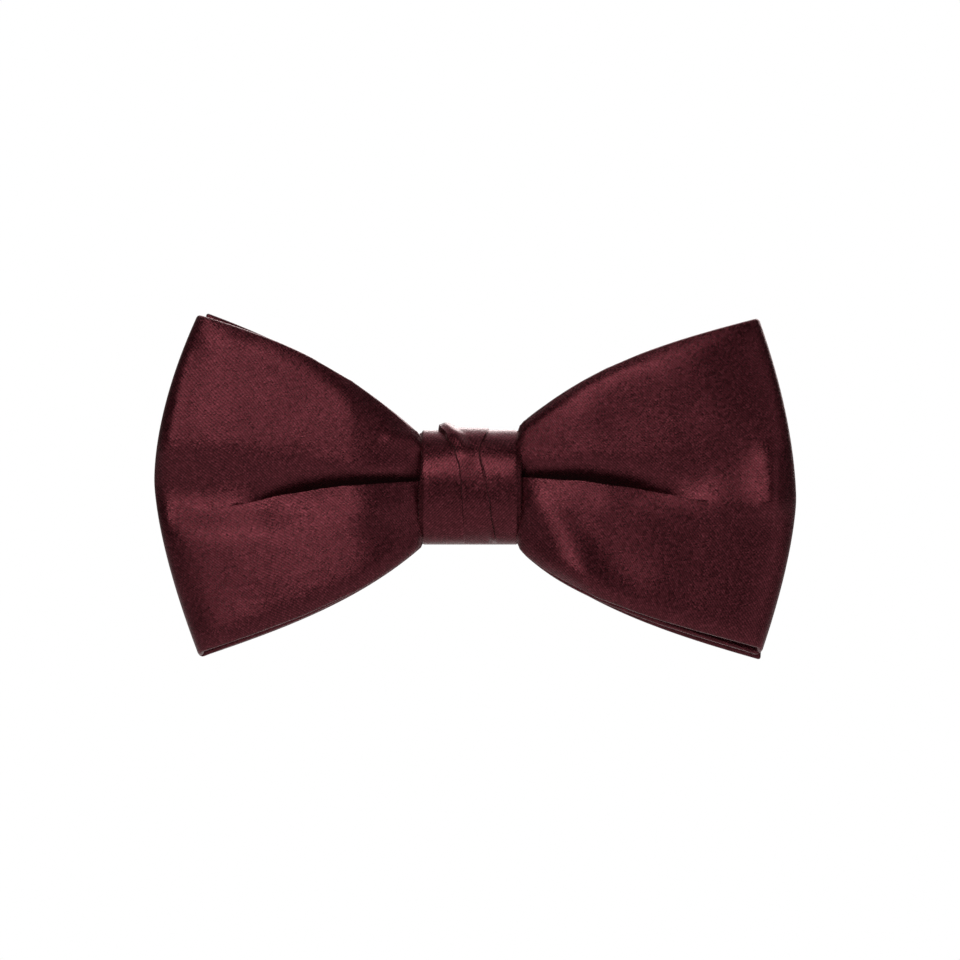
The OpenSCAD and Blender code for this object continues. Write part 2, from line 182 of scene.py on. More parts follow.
def ring_mesh(name, rings, along, around, closed=False):
    """A mesh of rings joined one to the next. along is each ring's place on the strip and around
    each point's place round the ring; both go into the UV map in metres."""
    rows, count = rings.shape[:2]
    points = rings.reshape(-1, 3)
    index = np.arange(rows * count).reshape(rows, count)
    if closed:
        index = np.concatenate([index, index[:1]])
        around = np.concatenate([around, around[:1]])
    turn = np.concatenate([index, index[:, :1]], axis=1)
    closing = lengths(rings[:, [-1, 0]], 1)[:, 1]
    if closed:
        closing = np.concatenate([closing, closing[:1]])
    t = np.concatenate([around, (around[:, -1] + closing)[:, None]], axis=1)
    s = np.repeat(np.asarray(along)[:, None], count + 1, axis=1)
    corners = [(slice(None, -1), slice(None, -1)), (slice(None, -1), slice(1, None)),
               (slice(1, None), slice(1, None)), (slice(1, None), slice(None, -1))]
    quads = np.stack([turn[c].ravel() for c in corners], axis=1)
    uv = np.stack([np.stack([s[c].ravel(), t[c].ravel()], axis=1) for c in corners], axis=1)
    if signed_volume(points, quads) < 0:
        quads, uv = quads[:, ::-1], uv[:, ::-1]
    faces = quads.tolist()
    uv = uv.reshape(-1, 2).tolist()
    if not closed:
        for row, reverse in ((0, True), (rows - 1, False)):
            half = count // 2
            rim = index[row].tolist()
            cap = rim[half:] + rim[:half]
            faces.append(cap[::-1] if reverse else cap)
            uv += [[s[row, 0], 0.0]] * count
    mesh = bpy.data.meshes.new(name)
    mesh.from_pydata((points * MM).tolist(), [], faces)
    layer = mesh.uv_layers.new(name=UV_NAME)
    layer.data.foreach_set("uv", (np.array(uv, np.float32) * MM).ravel())
    mesh.polygons.foreach_set("use_smooth", np.ones(len(faces), bool))
    mesh.update()
    return mesh


def orient(mesh):
    """Turns every face of a closed mesh outwards."""
    bm = bmesh.new()
    bm.from_mesh(mesh)
    bmesh.ops.recalc_face_normals(bm, faces=bm.faces)
    bm.to_mesh(mesh)
    bm.free()


def cloth_piece(name, rings, along, middle=0, closed=False):
    """A piece from a cloth's rings. Its UV map counts across from one column of the face."""
    around = lengths(rings, 1)
    around = around - around[:, middle][:, None]
    mesh = ring_mesh(name, rings, along, around, closed)
    orient(mesh)
    return new_piece(name, mesh)


def strip_piece(name, face, direction, thickness, middle=0):
    """A closed strip of even thickness behind its outer face, with rounded ends. direction points
    out of the face, for all of it or row by row."""
    grid, outwards, widths = rounded_ends(face, np.zeros_like(face) + direction, thickness)
    rings = cloth_rings(grid, outwards, widths)
    return cloth_piece(name, rings, lengths(grid, 0).mean(axis=1), middle)


def new_piece(name, data):
    piece = bpy.data.objects.new(name, data)
    bpy.context.scene.collection.objects.link(piece)
    return piece


def finish_piece(piece, material, node):
    """Gives a piece its material, if it has none yet, hangs it on the bow and hides its CAD node."""
    if material:
        piece.data.materials.append(material)
    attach(piece, "bow")
    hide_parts(node)


# ---- Shader nodes ----

class Value:
    """A number socket. Arithmetic on it adds Math nodes."""

    def __init__(self, shader, socket):
        self.shader = shader
        self.socket = socket

    def math(self, operation, *others):
        return self.shader.node("ShaderNodeMath", {"operation": operation}, [self, *others])[0]

    def __add__(self, other):
        return self.math("ADD", other)

    def __sub__(self, other):
        return self.math("SUBTRACT", other)

    def __rsub__(self, other):
        return self.math("MULTIPLY_ADD", -1.0, other)

    def __mul__(self, other):
        return self.math("MULTIPLY", other)

    __radd__ = __add__
    __rmul__ = __mul__


class Shader:
    """Adds nodes to one material or world."""

    def __init__(self, owner):
        owner.use_nodes = True
        self.tree = owner.node_tree
        self.tree.nodes.clear()

    def node(self, kind, settings=None, inputs=()):
        """A new node: its settings first, with a ramp's stops as (place, colour), then the values
        or links of its sockets, by order or by name. Returns its output sockets."""
        made = self.tree.nodes.new(kind)
        for key, value in (settings or {}).items():
            if key == "stops":
                self.set_stops(made.color_ramp.elements, value)
            else:
                setattr(made, key, value)
        pairs = inputs.items() if isinstance(inputs, dict) else enumerate(inputs)
        for key, value in pairs:
            if value is None:
                continue
            if isinstance(value, Value):
                self.tree.links.new(value.socket, made.inputs[key])
            else:
                made.inputs[key].default_value = value
        return [Value(self, o) for o in made.outputs]

    @staticmethod
    def set_stops(elements, stops):
        while len(elements) < len(stops):
            elements.new(0.5)
        for element, (place, colour) in zip(elements, stops):
            element.position = place
            element.color = (*colour, 1)

    def ramp(self, factor, stops):
        return self.node("ShaderNodeValToRGB", {"stops": stops}, [factor])[0]

    def noise(self, vector, scale, detail, roughness=None, dimensions="2D"):
        return self.node("ShaderNodeTexNoise", {"noise_dimensions": dimensions},
                         {"Vector": vector, "Scale": scale, "Detail": detail,
                          "Roughness": roughness})[0]

    def bump(self, strength, distance, height, normal=None):
        return self.node("ShaderNodeBump", None, {"Strength": strength, "Distance": distance,
                                                  "Height": height, "Normal": normal})[0]

    def surface(self, **sockets):
        """The principled shader and the output. Names use _ for spaces."""
        named = {key.replace("_", " "): value for key, value in sockets.items()}
        named = {key: (*v, 1) if isinstance(v, tuple) and len(v) == 3 else v
                 for key, v in named.items()}
        bsdf = self.node("ShaderNodeBsdfPrincipled", None, named)[0]
        self.node("ShaderNodeOutputMaterial", None, {"Surface": bsdf})


# ---- Finishes ----

def new_material(name):
    material = bpy.data.materials.new(name)
    return material, Shader(material)


OBJECT_PLACE = 3
RIB_WOBBLE = 0.5
PAINTED_GLINT_SHARE = 0.9


def satin_finish(name, look, shade=1.0):
    """Woven satin. Ribs run diagonally over the strip; its colour paints shade between the ribs and
    glints on single threads, over the threads' random tone.
    """
    material, sh = new_material(name)
    uv = sh.node("ShaderNodeUVMap", {"uv_map": UV_NAME})[0]
    along, across, _ = sh.node("ShaderNodeSeparateXYZ", None, [uv])
    pitch = look.rib_pitch * math.sqrt(2)
    rib = (along + across) * (1 / pitch)
    run = (along - across) * (1 / (pitch * look.float_length))
    drift = sh.noise(uv, 900.0, 1.0)
    rib = rib + (drift - 0.5) * RIB_WOBBLE
    # The rib stripes raise the bump and, through the colour, paint shade between the ribs and light
    # on their crests.
    wave = (rib * (2 * math.pi)).math("SINE") * 0.5 + 0.5
    row = rib.math("FLOOR")
    cell = sh.node("ShaderNodeCombineXYZ", None, [row, (run + (row * 0.37)).math("FLOOR")])[0]
    chance = sh.node("ShaderNodeTexWhiteNoise", {"noise_dimensions": "2D"}, {"Vector": cell})[0]
    # Painted highlight: a few thread cells get a lighter colour, as glints.
    glint = chance.math("GREATER_THAN", PAINTED_GLINT_SHARE)
    mottle = sh.noise(uv, 260.0, 4.0, 0.65)
    level = 0.45 + wave * 0.6 + (chance - 0.5) * 0.5 + (mottle - 0.5) * 0.1 + glint * 0.15
    tones = zip((0.0, 0.42, 1.0), (look.satin_rib_shade, look.satin, look.satin_painted_glint))
    # shade darkens every tone, for a copy of the satin in painted shade.
    colour = sh.ramp(level * 0.5, [(place, tuple(shade * c for c in tone))
                                   for place, tone in tones])
    threads = sh.node("ShaderNodeCombineXYZ", None,
                      [along * 1400, across * (1 / look.thread_pitch)])[0]
    ribs = sh.bump(0.35, 0.00006, wave * 0.6 + chance * 0.4)
    relief = sh.bump(1.0, look.thread_relief, sh.noise(threads, 1.0, 0.0), ribs)
    rough = look.satin_roughness + (chance - 0.5) * 0.12 + (mottle - 0.5) * 0.05
    sh.surface(Base_Color=colour, Roughness=rough, Metallic=look.satin_metal, Normal=relief,
               Specular_IOR_Level=0.5, Sheen_Weight=look.sheen, Sheen_Roughness=0.35,
               Sheen_Tint=(0.9, 0.5, 0.5))
    return material


def canvas_finish(name, light, dark):
    """Plain open weave of interlining or wadding."""
    material, sh = new_material(name)
    place = sh.node("ShaderNodeTexCoord")[OBJECT_PLACE]
    fibres = sh.noise(place, 1600.0, 5.0, 0.7, "3D")
    sh.surface(Base_Color=sh.ramp(fibres, [(0.3, dark), (0.7, light)]), Roughness=0.9,
               Normal=sh.bump(0.5, 0.0001, fibres))
    return material


def thread_finish(name, light, dark):
    """Twisted sewing thread."""
    material, sh = new_material(name)
    place = sh.node("ShaderNodeTexCoord")[OBJECT_PLACE]
    twist = sh.node("ShaderNodeTexWave", {"bands_direction": "DIAGONAL"},
                    {"Vector": place, "Scale": 900.0, "Distortion": 1.0})[1]
    sh.surface(Base_Color=sh.ramp(twist, [(0.2, dark), (0.8, light)]), Roughness=0.5,
               Normal=sh.bump(0.6, 0.00005, twist))
    return material


def metal_finish(name, colour, worn, roughness, grain):
    """Plated steel with fine drawn lines and duller spots."""
    material, sh = new_material(name)
    place = sh.node("ShaderNodeTexCoord")[OBJECT_PLACE]
    stretched = sh.node("ShaderNodeMapping", None, {0: place, 3: (150.0, 2500.0, grain)})[0]
    lines = sh.noise(stretched, 1.0, 3.0, dimensions="3D")
    spots = sh.noise(place, 420.0, 4.0, 0.6, "3D")
    rough = roughness + (spots - 0.5) * 0.1 + (lines - 0.5) * 0.12
    sh.surface(Base_Color=sh.ramp(spots, [(0.2, worn), (0.55, colour)]), Roughness=rough,
               Metallic=1.0, Normal=sh.bump(0.12, 0.00004, lines))
    return material


# ---- The wings of the loop ----

KNOT_EDGE = 9.2
NECK_HALF = 8.35
NECK_FRONT = -12.5
NECK_INSET = 2.1
FOLD_Y = -9.05
LOOP_SMOOTHING = 14

# Edges run from the knot to the tip, as curves of (out, up). Creases are stops of (out, value).
WINGS = {
    "right": {
        "top": [(9.2, 11.0), (22, 22.5), (38, 27), (54.7, 31.1)],
        "bottom": [(9.2, -11.6), (19, -21), (38, -25.5), (55.2, -30.1)],
        "back_shift": ((-0.9, -0.7), (-0.7, -1.3)),
        "reach": 61.5,
        "widest": -0.08,
        "roundness": (1.5, 1.75),
        "crest": 0.4,
        "fold_square": 3.0,
        "crease": [(0, 0.9), (9.3, 1.3), (19.4, 0.7), (27.7, -0.5), (34.2, -1.7), (41, -2.8),
                   (50, -4), (62, -5)],
        "depth": [(0, 1.6), (9, 3.0), (18, 5.0), (26, 4.8), (33, 2.6), (39, 0.5), (42, 0),
                  (62, 0)],
        "overhang": [(0, 0.4), (33, 0.5), (38, 0.2), (42, -0.5), (62, -0.7)],
        "shoulder": [(0, 3), (14, 5), (24, 7), (34, 9), (48, 11), (62, 11)],
        "hollow": [(0, 0), (24, 0), (34, 0.9), (44, 0.9), (54, 0), (62, 0)],
        "hollow_up": [(0, 0), (34, 0), (46, 3), (62, 4)],
        "roll": [(0, 2), (62, 3)],
        "roll_depth": [(0, 0.6), (20, 0.9), (62, 1.1)],
        # Ridges and dents: from (out, up) to (out, up), half width, height towards the front.
        "folds": [((10, 10), (20, 14), 4.5, 0.5), ((12, -3), (24, -20), 4.0, 1.25),
                  ((21, -6), (27, -14), 3.6, -0.5), ((27, -5), (34, -14), 4.0, 0.2),
                  ((34, -4), (57, -2.5), 3.4, 0.5),
                  ((56, 4), (57, -3), 2.8, 0.9), ((28, 20), (44, 21), 5.0, 0.45),
                  ((16, -15), (19, -16), 3.0, 0.5), ((20, -4), (23, -4), 3.0, 0.3)],
    },
    "left": {
        "top": [(9.2, 9.2), (22, 21.0), (34, 26.8), (51.6, 31.8)],
        "bottom": [(9.2, -11.0), (20, -20.8), (36, -25.8), (51.2, -30.9)],
        "back_shift": ((-0.8, -0.6), (-0.3, -0.9)),
        "reach": 59.5,
        "widest": 0.02,
        "roundness": (1.5, 1.75),
        "crest": 0.36,
        "fold_square": 3.8,
        "crease": [(0, 0.9), (9, 0.5), (24, -0.3), (32, -1.9), (38.7, -3.3), (45, -4.8),
                   (52, -5.4), (60, -5.5)],
        "depth": [(0, 1.6), (9, 2.8), (18, 4.8), (28, 4.6), (33, 2.6), (38, 0.5), (41, 0),
                  (60, 0)],
        "overhang": [(0, 0.4), (32, 0.5), (37, 0.2), (41, -0.5), (60, -0.7)],
        "shoulder": [(0, 3), (14, 4.5), (24, 6), (34, 9), (44, 11), (60, 12)],
        "hollow": [(0, 0), (20, 0), (34, 1.5), (46, 2.3), (51, 2.2), (57.5, 0.2), (60, 0)],
        "hollow_up": [(0, 0), (34, -1.5), (46, -1.5), (60, -1)],
        "roll": [(0, 3), (9, 4), (13, 6.5), (17.4, 8), (24.8, 3), (60, 3)],
        "roll_depth": [(0, 1.0), (9, 1.0), (16, 2.0), (26, 1.0), (60, 1.1)],
        "folds": [((10, 8.6), (14, 9), 2.0, 0.9), ((54, 24), (57, 8), 1.6, 0.45),
                  ((12, -3), (20, -5), 3.0, 0.5), ((57, 6), (57.5, -6), 1.6, 0.5),
                  ((34, -9), (48, -10), 5.0, 0.4), ((16, -14), (26, -15), 5.0, 0.4)],
    },
}

HOLLOW_ABOVE = 11.0
HOLLOW_BELOW = 9.0
NECK_ROWS = 9
NECK_STRAIGHT = 0.86
PANEL_ROWS = 40
FOLD_ROWS = 44
LOWER_COLUMNS = 34
WALL_COLUMNS = 9
UPPER_COLUMNS = 38
COLUMN_SPREAD = 1.35
BULGE_SPREAD = 2.2
SHOULDER_FALL = 2.2
# The turn, in degrees, from which the cloth counts as behind the fold, and over which it gets there.
BEHIND_FROM = 70
BEHIND_OVER = 40
# How far apart the crease's two sides lie behind the fold, where the cloth is flat.
CREASE_PARTS = 0.7
# The share of the height within which folds fade towards the rims, and what is left of them there.
RIM_SHARE = 0.05
RIM_FOLDS = 0.4
# Height and depth of the roll along the bottom edge.
BOTTOM_ROLL = 3
BOTTOM_ROLL_DEPTH = 1.0


def fold_height(folds, out, up):
    """Summed height of soft ridges and dents at the places (out, up)."""
    total = np.zeros_like(out)
    for (x0, z0), (x1, z1), width, height in folds:
        run = np.array([x1 - x0, z1 - z0])
        t = np.clip(((out - x0) * run[0] + (up - z0) * run[1]) / (run @ run), 0, 1)
        away = np.hypot(out - x0 - t * run[0], up - z0 - t * run[1])
        total += height * np.exp(-(away / width) ** 2)
    return total


def edge_bow(v, wing):
    """How far the outer edge stands out, from 1 at its widest to 0 at both tips."""
    w = wing["widest"]
    below, above = wing["roundness"]
    away = np.where(v > w, np.clip((v - w) / (1 - w), 0, 1) ** above,
                    np.clip((w - v) / (1 + w), 0, 1) ** below)
    return 1 - away


def wing_rows(crest, square):
    """Each row's place on the edge curves (0 at the knot, 1 at the fold) and its turn round the
    fold in degrees."""
    inner = crest * np.linspace(0, 1, PANEL_ROWS // 2, endpoint=False)
    turn = np.linspace(0, 90, FOLD_ROWS)
    outer = crest + (1 - crest) * np.sin(np.radians(turn)) ** (2 / square)
    place = np.concatenate([inner, outer])
    angle = np.concatenate([np.zeros(len(inner)), turn])
    place = np.concatenate([place, place[-2::-1]])
    angle = np.concatenate([angle, 180 - angle[-2::-1]])
    return place, angle


def wing_edges(wing, place, behind):
    """The top and the bottom edge at each row, as (out, up)."""
    return [bezier(wing[name], place) + np.array(shift) * behind * place[:, None]
            for name, shift in zip(("top", "bottom"), wing["back_shift"])]


def wing_heights(wing, top, bottom, middle, fade):
    """Heights from the bottom edge to the crease, over its wall and on to the top edge, and how
    deep in the crease each place lies, from 0 to 1. fade is 1 in front and 0 behind."""
    crease = eased(middle, wing["crease"])[:, None]
    shoulder = eased(middle, wing["shoulder"])[:, None]
    overhang = (eased(middle, wing["overhang"]) * fade - CREASE_PARTS * (1 - fade))[:, None]
    lower = 1 - (1 - np.linspace(0, 1, LOWER_COLUMNS)) ** COLUMN_SPREAD
    upper = np.linspace(0, 1, UPPER_COLUMNS) ** COLUMN_SPREAD
    wall = np.linspace(0, 1, WALL_COLUMNS + 2)[1:-1]
    z_low = mix(bottom[:, 1:], crease + overhang, lower)
    z_wall = mix(crease + overhang, crease - overhang, wall)
    z_up = mix(crease - overhang, top[:, 1:], upper)
    above = np.clip((z_up - crease + overhang) / shoulder, 0, 1)
    sunk = [np.zeros_like(z_low), smooth(wall) * np.ones_like(z_wall), (1 - above) ** SHOULDER_FALL]
    return np.concatenate([z_low, z_wall, z_up], axis=1), np.concatenate(sunk, axis=1)


def wing_swell(wing, swell, rear, p, v, outer):
    """Depth of the plain wing: in front of the fold where outer is above 0, then behind it."""
    neck_depth = FOLD_Y - NECK_FRONT
    opening = np.sin(np.pi / 2 * np.clip(p / wing["crest"], 0, 1))
    edge_ease = np.where(v > 0, 1 - 0.06 * v**2, 1 + 0.07 * np.abs(v) ** 1.5)
    front = mix(neck_depth, swell * edge_ease, opening)
    back = mix(neck_depth, rear * (1 - 0.2 * v**2), opening)
    return FOLD_Y - np.where(outer > 0, front, back) * outer


def wing_hollow(wing, z, middle):
    """The soft hollow along the wing's middle."""
    below = z - eased(middle, wing["hollow_up"])[:, None]
    reach = np.where(below > 0, HOLLOW_ABOVE, HOLLOW_BELOW)
    return 0.5 + 0.5 * np.cos(np.pi * np.clip(np.abs(below) / reach, 0, 1))


def wing_grid(wing, swell, rear):
    """The outer face of one wing, from the knot's middle over the front, round the fold and back,
    as rows from its bottom edge to its top edge; x grows outwards."""
    square = wing["fold_square"]
    place, angle = wing_rows(wing["crest"], square)
    behind = smooth((angle - BEHIND_FROM) / BEHIND_OVER)[:, None]
    p = place[:, None]
    top, bottom = wing_edges(wing, place, behind)
    middle = (top[:, 0] + bottom[:, 0]) / 2
    fade = 1 - behind[:, 0]
    z, sunk = wing_heights(wing, top, bottom, middle, fade)

    v = np.clip((z - bottom[:, 1:]) / (top[:, 1:] - bottom[:, 1:]), 0, 1) * 2 - 1
    tip = (wing["top"][3][0] + wing["bottom"][3][0]) / 2
    x = mix(bottom[:, :1], top[:, :1], (v + 1) / 2)
    x = x + (wing["reach"] - tip) * edge_bow(v, wing) * p ** BULGE_SPREAD

    turned = np.cos(np.radians(angle))[:, None]
    outer = np.sign(turned) * np.abs(turned) ** (2 / square)
    depth = (eased(middle, wing["depth"]) * fade)[:, None] * sunk
    hollow = eased(middle, wing["hollow"])[:, None] * fade[:, None] * wing_hollow(wing, z, middle)
    near_rim = smooth((1 - np.abs(v)) / RIM_SHARE)
    lift = fold_height(wing["folds"], x, z) * fade[:, None] * mix(RIM_FOLDS, 1, near_rim)
    roll, roll_depth = (eased(middle, wing[name])[:, None] for name in ("roll", "roll_depth"))
    rolled = roll_depth * np.clip(1 - (top[:, 1:] - z) / roll, 0, 1) ** 2 \
        + BOTTOM_ROLL_DEPTH * np.clip(1 - (z - bottom[:, 1:]) / BOTTOM_ROLL, 0, 1) ** 2
    y = wing_swell(wing, swell, rear, p, v, outer)
    y = y + depth + hollow - lift + rolled * np.clip(outer, -1, 1)
    return add_neck(np.stack([x, y, z], axis=-1))


# Where the cloth leaves the band: how far inside its edge the flare starts, and its length.
FLARE_START = 0.4
FLARE = 0.42


def tuck_in(points, inset):
    """Draws what lies within the band's width inside the band, with a quick flare outside it."""
    away, half = KNOT_DEPTH - inset, KNOT_HALF - inset
    y, z = points[..., 1] - KNOT_MIDDLE, points[..., 2] + KNOT_DROP
    power = np.where(y > 0, BACK_SQUARE, FRONT_SQUARE)
    reach = ((np.abs(y) / away) ** power + (np.abs(z) / half) ** power) ** (1 / power)
    shrink = 1 / np.maximum(reach, 1)
    inside = 1 - smooth((np.abs(points[..., 0]) - KNOT_EDGE + FLARE_START) / FLARE)
    shrink = mix(1, shrink, inside)
    tucked = points.copy()
    tucked[..., 1] = KNOT_MIDDLE + y * shrink
    tucked[..., 2] = z * shrink - KNOT_DROP
    return tucked


def add_neck(grid):
    """The rows inside the knot, in front and behind, drawn together to the neck's height."""
    parts = []
    for row in (grid[0], grid[-1]):
        low, high = row[0, 2], row[-1, 2]
        fraction = (row[:, 2] - low) / (high - low)
        rows = []
        for f in np.linspace(0, 1, NECK_ROWS, endpoint=False):
            squeeze = smooth((f - NECK_STRAIGHT) / (1 - NECK_STRAIGHT))
            z = mix(mix(-NECK_HALF, NECK_HALF, fraction), row[:, 2], squeeze)
            y = mix(mix(row[:, 1], row[:, 1].mean(), 0.5), row[:, 1], f)
            rows.append(np.stack([np.full_like(z, f * KNOT_EDGE), y, z], axis=-1))
        parts.append(np.array(rows))
    return np.concatenate([parts[0], grid, parts[1][::-1]])


def loop_face(sizes):
    """The whole loop's outer face as a ring of rows: right front, right back, left back, left
    front."""
    swell, rear = sizes.front_swell / MM, sizes.rear_swell / MM
    right = wing_grid(WINGS["right"], swell, rear)
    left = wing_grid(WINGS["left"], swell, rear)
    left = left[::-1] * (-1, 1, 1)
    face = np.concatenate([right[:-1], (right[-1:] + left[:1]) / 2, left[1:-1]])
    face[0] = (right[0] + left[-1]) / 2
    outside = np.abs(face[..., 0]) > KNOT_EDGE + 1
    waviness = undulation(face, 14, sizes.unevenness / MM, 1) \
        + undulation(face, 6, 0.35 * sizes.unevenness / MM, 2)
    face[..., 1] += np.where(outside, waviness, 0)
    return tuck_in(face, NECK_INSET)


def ring_soften(face, times):
    """The ring of rows after light averaging along and across, with its two rims as they were."""
    g = face.copy()
    for _ in range(times):
        wide = np.concatenate([g[-1:], g, g[:1]])
        around = (wide[:-2, 1:-1] + wide[2:, 1:-1] + g[:, :-2] + g[:, 2:]) / 4
        g[:, 1:-1] = mix(g[:, 1:-1], around, 0.7)
    return g


def ring_directions(face):
    """Directions out of the loop's face, smoothed so that they turn gently at the creases."""
    ring = ring_soften(face, LOOP_SMOOTHING)
    wide = np.concatenate([ring[-1:], ring, ring[:1]])
    return unit(np.cross(wide[2:] - wide[:-2], np.gradient(ring, axis=1)))


def build_loop(sizes):
    face = ring_soften(loop_face(sizes), 2)
    rings = cloth_rings(face, ring_directions(face), sizes.strip_thickness / MM)
    closed = np.concatenate([face, face[:1]])
    along = lengths(closed[:, ::6], 0).mean(axis=1)
    return cloth_piece("bow_loop", rings, along, face.shape[1] // 2, closed=True), face


RIM_COLUMNS = 4


def build_loop_canvas(face, sizes):
    """The interlining that lies inside the loop's two layers of satin, as a closed ring."""
    thickness = sizes.canvas_thickness / MM
    outwards = ring_directions(face)
    sunk = (sizes.strip_thickness / MM - thickness) / 2
    inside = slice(RIM_COLUMNS, -RIM_COLUMNS)
    middle = (face - outwards * sunk)[:, inside]
    rings = cloth_rings(middle, outwards[:, inside], thickness)
    closed = np.concatenate([middle, middle[:1]])
    return cloth_piece("loop_canvas", rings, lengths(closed, 0).mean(axis=1), closed=True)


# ---- The flat tail behind the loop ----

TAIL_EDGES = {
    "right": {"top": [(9.2, 9.2), (22, 19.6), (38, 25.6), (53.4, 30.0)],
              "bottom": [(9.2, -11.0), (21, -22.0), (38, -27.4), (54.1, -32.0)]},
    "left": {"top": [(9.2, 8.6), (21, 19.4), (34, 26.2), (49.1, 31.8)],
             "bottom": [(9.2, -11.0), (21, -21.3), (36, -26.6), (49.4, -31.2)]},
}
TAIL_ROWS = 56
TAIL_COLUMNS = 64
TAIL_FRONT = -4.1
# The tail has no waves within this height of its middle, where the clip sits; they grow beyond it.
WAIST = 6
WAIST_EASE = 5
# Its ends lean back by this much, from a place along the wing and over a length.
LEAN = 1.4
LEAN_FROM = 27
LEAN_OVER = 24
PLEAT_HEIGHT = 0.9
PLEAT_PHASE = {"left": 0.8, "right": 0.2}
FRONTWARDS = (0, -1, 0)


def tail_wing(edges):
    place = np.linspace(0, 1, TAIL_ROWS)
    top, bottom = bezier(edges["top"], place), bezier(edges["bottom"], place)
    t = np.linspace(0, 1, TAIL_COLUMNS)
    x = mix(bottom[:, :1], top[:, :1], t)
    z = mix(bottom[:, 1:], top[:, 1:], t)
    v = t * 2 - 1
    x = x + 0.8 * (1 - v * v) * place[:, None] ** 2
    return x, z, v * np.ones_like(x), place[:, None] * np.ones_like(x)


def tail_face():
    """The tail's front face from its left end to its right end."""
    wings = {}
    for side in ("right", "left"):
        x, z, v, p = tail_wing(TAIL_EDGES[side])
        y = np.full_like(x, TAIL_FRONT)
        free = smooth((np.abs(z) - WAIST) / WAIST_EASE)
        pleats = np.cos(v * 11 + PLEAT_PHASE[side]) * np.exp(-p * 4.2)
        y = y + free * PLEAT_HEIGHT * pleats * smooth(p / 0.06)
        y = y + LEAN * smooth((x - LEAN_FROM) / LEAN_OVER)
        y = y + free * 0.35 * np.sin(v * 3 + p * 4)
        neck = []
        for f in np.linspace(0, 1, NECK_ROWS, endpoint=False):
            squeeze = smooth((f - 0.8) / 0.2)
            low, high = z[0, 0], z[0, -1]
            inside = mix(-NECK_HALF, NECK_HALF, (z[0] - low) / (high - low))
            neck.append(np.stack([np.full_like(inside, f * KNOT_EDGE),
                                  mix(TAIL_FRONT - 0.7, y[0], smooth((f - 0.5) / 0.5)),
                                  mix(inside, z[0], squeeze)], axis=-1))
        wings[side] = np.concatenate([np.array(neck), np.stack([x, y, z], axis=-1)])
    left = wings["left"][:0:-1] * (-1, 1, 1)
    return tuck_in(np.concatenate([left, wings["right"]]), NECK_INSET)


def build_tail(sizes):
    face = tail_face()
    free = smooth((np.abs(face[..., 2]) - WAIST) / WAIST_EASE)
    face[..., 1] += undulation(face, 16, 0.25, 5) * free
    thickness = sizes.strip_thickness / MM
    return strip_piece("bow_tail", face, FRONTWARDS, thickness, face.shape[1] // 2), face


TAIL_MARGIN = 1.2


def build_tail_canvas(face, sizes):
    """The interlining inside the tail, narrower by a margin at both rims."""
    thickness = sizes.canvas_thickness / MM
    sunk = face[2:-2] - np.array(FRONTWARDS) * (sizes.strip_thickness / MM - thickness) / 2
    run = lengths(sunk, 1)
    share = np.linspace(0, 1, face.shape[1])
    wanted = TAIL_MARGIN + share * (run[:, -1:] - 2 * TAIL_MARGIN)
    middle = np.array([np.transpose([np.interp(w, r, k) for k in row.T])
                       for w, r, row in zip(wanted, run, sunk)])
    return strip_piece("tail_canvas", middle[:, ::2], FRONTWARDS, thickness)


# ---- The knot ----

KNOT_MIDDLE = -7.85
KNOT_DEPTH = 6.95
KNOT_HALF = 10.7
KNOT_DROP = 0.3
FRONT_SQUARE = 2.15
BACK_SQUARE = 4.2
KNOT_ROWS = 190
KNOT_TURNS = (8, -378)
# Turns in degrees, from where and over how many: the front begins, the front ends, the lap begins.
FRONT_BEGINS = (100, 25)
FRONT_ENDS = (285, 30)
LAP_BEGINS = (268, 60)
LAP_GAP = 0.05
PLEAT_WALL = 0.24
PLEAT_SEAT = -0.05
EAR_RISE = 1.4
EAR_END = 4.0

# How far the middle pleat stands up at its two edges, and its rolled ear above that, as a share
# of the step, by height.
PLEAT_RISES = (
    [(-14, -0.6), (-11, -0.6), (-6, 0.3), (0, 0.6), (6, 0.7), (11, 0.7), (14, 0.7)],
    [(-14, 0.7), (-4, 0.7), (2, 0.35), (6.5, 0.7), (14, 0.5)],
    [(-14, 0), (2, 0), (7, 0.6), (9.5, 1.5), (11, 1.7), (14, 1.7)],
)

# Places of the two pleat edges across the knot, by height up its front.
PLEAT_EDGES = (
    [(-14, -0.8), (-10, -1.1), (0, -1.6), (3, -1.9), (6.4, -2.8), (9, -4.5), (10.6, -6.0),
     (14, -6.4)],
    [(-14, 5.1), (-10.9, 4.9), (-4, 3.8), (0.8, 3.0), (6.5, 1.7), (11, 3.6), (14, 4)],
)


def knot_outline(degrees, inset):
    """The band's outer face in side view, or a path inset from it, as (y, z) at each turn."""
    a = np.radians(degrees)
    flat = np.where(np.cos(a) > 0, BACK_SQUARE, FRONT_SQUARE)
    depth, half = KNOT_DEPTH - inset, KNOT_HALF - inset
    y = KNOT_MIDDLE + depth * np.sign(np.cos(a)) * np.abs(np.cos(a)) ** (2 / flat)
    z = half * np.sign(np.sin(a)) * np.abs(np.sin(a)) ** (2 / flat) - KNOT_DROP
    return y, z


def even_rows(y, z, turn, count):
    run = np.concatenate([[0], np.cumsum(np.hypot(np.diff(y), np.diff(z)))])
    place = np.linspace(0, run[-1], count)
    return [np.interp(place, run, k) for k in (y, z, turn)]


def path_outward(y, z):
    """Directions out of a path in side view."""
    n = unit(np.stack([-np.gradient(z), np.gradient(y)], axis=1))
    towards = np.stack([y - KNOT_MIDDLE, z], axis=1)
    return n * np.sign(np.sum(n * towards, axis=1, keepdims=True))


def turned(turn, place):
    """0 before a place in the band's turn and 1 past it, easing over its length."""
    start, length = place
    return smooth((-turn - start) / length)


